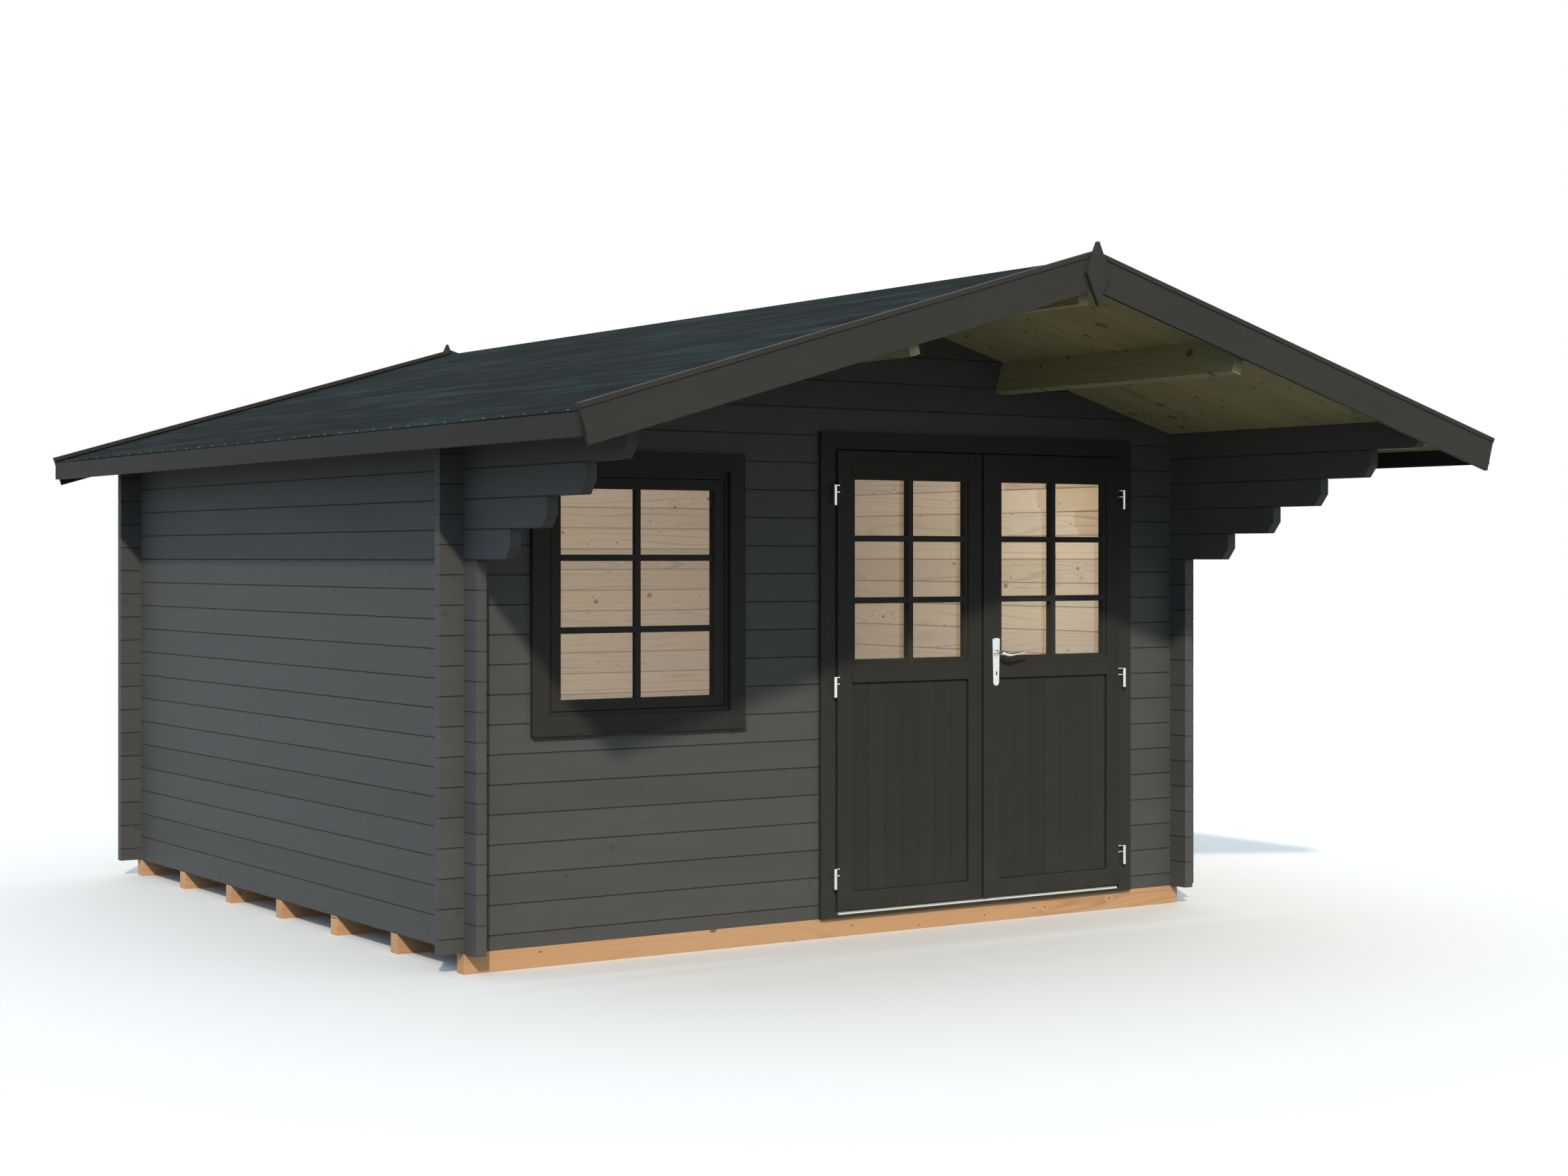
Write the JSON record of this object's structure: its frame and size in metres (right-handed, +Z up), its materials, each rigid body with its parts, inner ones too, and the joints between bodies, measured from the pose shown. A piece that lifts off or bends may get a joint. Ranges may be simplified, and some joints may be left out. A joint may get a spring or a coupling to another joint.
{
  "type": "garden shed",
  "caption": "Log-built garden cabin with a felted gable roof, a deep front canopy on stepped logs, a glazed double door and a barred window.",
  "frame": {"origin": "middle of the wall rectangle, on the underside of the middle bearer", "axes": "+X to the right seen from the front, +Y to the back, +Z up; the door faces -Y"},
  "size_m": [4.3086, 5.382, 2.7254],
  "materials": {
    "bearer_wood": "unpainted impregnated pine",
    "raw_spruce": "unpainted planed spruce",
    "log_paint": "slate grey wood paint over horizontal logs",
    "roofing_felt": "bitumen felt, streaked",
    "trim_paint": "charcoal wood paint",
    "bare_aluminium": "mill finish aluminium strip",
    "glass": "clear sheet glass",
    "plated_steel": "satin plated steel"
  },
  "bodies": {
    "shed": {"bearers": "bearer_wood", "floor_boards": "raw_spruce", "left_wall": "log_paint", "right_wall": "log_paint", "rear_wall": "log_paint", "front_wall_left": "log_paint", "front_wall_right": "log_paint", "front_gable": "log_paint", "ridge_purlin": "raw_spruce", "left_purlin": "raw_spruce", "right_purlin": "raw_spruce", "left_roof_boards": "raw_spruce", "right_roof_boards": "raw_spruce", "roofing_felt": "roofing_felt", "left_eave_board": "trim_paint", "right_eave_board": "trim_paint", "front_left_barge_board": "trim_paint", "front_right_barge_board": "trim_paint", "rear_left_barge_board": "trim_paint", "rear_right_barge_board": "trim_paint", "front_barge_caps": "trim_paint", "rear_barge_caps": "trim_paint", "front_finial": "trim_paint", "rear_finial": "trim_paint", "door_frame": "trim_paint", "door_threshold": "bare_aluminium", "window_frame": "trim_paint", "window_trim": "trim_paint", "window_sash": "trim_paint", "window_glass": "glass", "frame_hinges": "plated_steel"},
    "left_door": {"left_leaf_frame": "trim_paint", "left_leaf_glass": "glass", "left_leaf_panel": "trim_paint", "left_leaf_hinges": "plated_steel"},
    "right_door": {"right_leaf_frame": "trim_paint", "right_leaf_glass": "glass", "right_leaf_panel": "trim_paint", "right_leaf_hinges": "plated_steel", "meeting_strip": "trim_paint", "handle_plates": "plated_steel"},
    "lever": {"handle_lever": "plated_steel"}
  },
  "joints": [
    {"name": "left_door_hinge", "type": "hinge", "parent": "shed", "child": "left_door", "pos_m": [-0.125, -1.84, 1.036], "axis": [0, 0, -1], "range_deg": [0, 170]},
    {"name": "right_door_hinge", "type": "hinge", "parent": "shed", "child": "right_door", "pos_m": [1.445, -1.84, 1.036], "axis": [0, 0, 1], "range_deg": [0, 110]},
    {"name": "handle_lever_turn", "type": "hinge", "parent": "right_door", "child": "lever", "pos_m": [0.723, -1.83, 1.161], "axis": [0, 1, 0], "range_deg": [0, 40], "stiffness_Nm_per_rad": 1.2, "springref_deg": -11.46}
  ]
}
